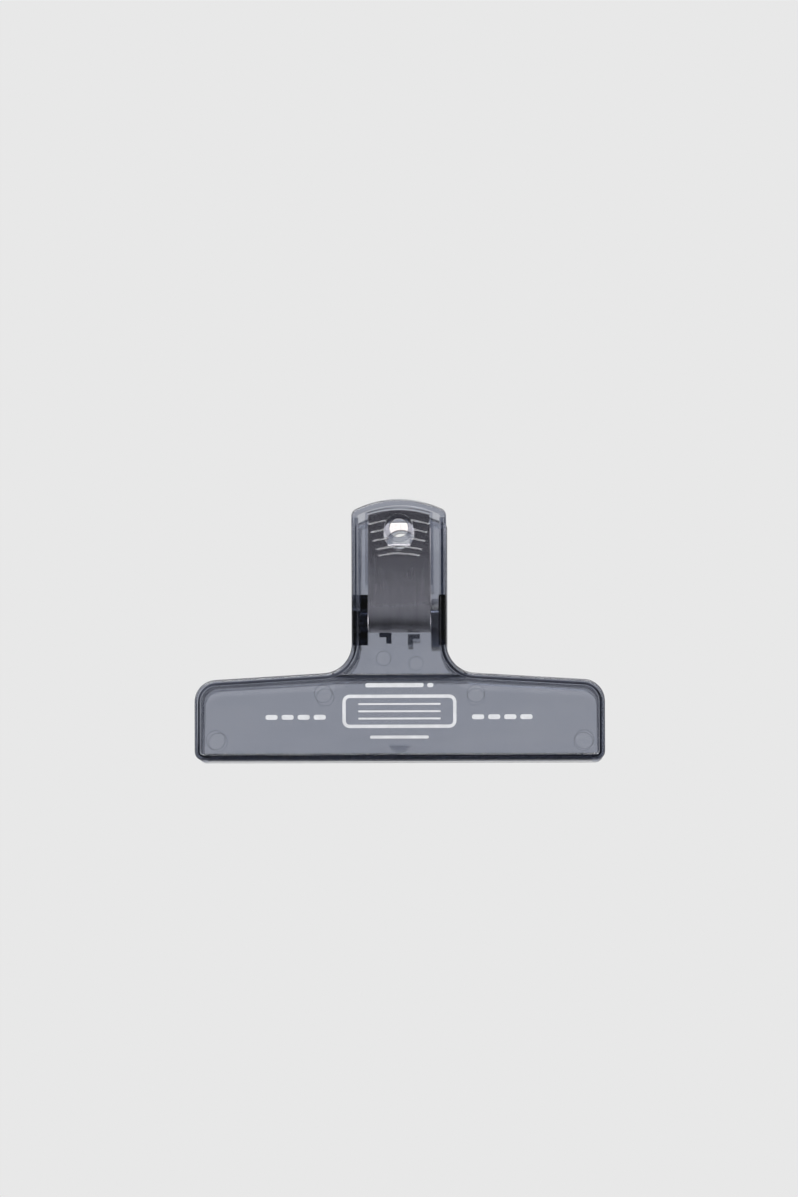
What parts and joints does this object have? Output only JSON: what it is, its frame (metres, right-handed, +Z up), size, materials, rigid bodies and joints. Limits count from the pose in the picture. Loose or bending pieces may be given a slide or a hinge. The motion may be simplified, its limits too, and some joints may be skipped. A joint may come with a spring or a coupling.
{
  "type": "spring clip",
  "caption": "Wide bulldog-style paper clip: two translucent smoke plastic levers hinged on moulded stub pins, held shut by a U-shaped steel leaf spring, with a hanging hole.",
  "frame": {"origin": "middle of the closed jaws' flat bottom, on the plane where the jaws meet", "axes": "+X along the jaws, +Y from the front lever to the rear lever, +Z up from the jaws to the handles"},
  "size_m": [0.1352, 0.0338, 0.0857],
  "materials": {
    "smoke_plastic": "clear smoke-grey moulding, glossy outside, fine matt inside",
    "spring_steel": "rolled spring steel, lightly polished",
    "white_print": "pad-printed white ink"
  },
  "bodies": {
    "rear_lever": {"rear_lever": "smoke_plastic", "leaf_spring": "spring_steel"},
    "front_lever": {"front_lever": "smoke_plastic"}
  },
  "joints": [
    {"name": "pivot", "type": "hinge", "parent": "rear_lever", "child": "front_lever", "pos_m": [0, 0, 0.0473], "axis": [-1, 0, 0], "range_deg": [0, 32], "stiffness_Nm_per_rad": 0.6, "springref_deg": -25.78, "deforming": ["leaf_spring"]}
  ]
}
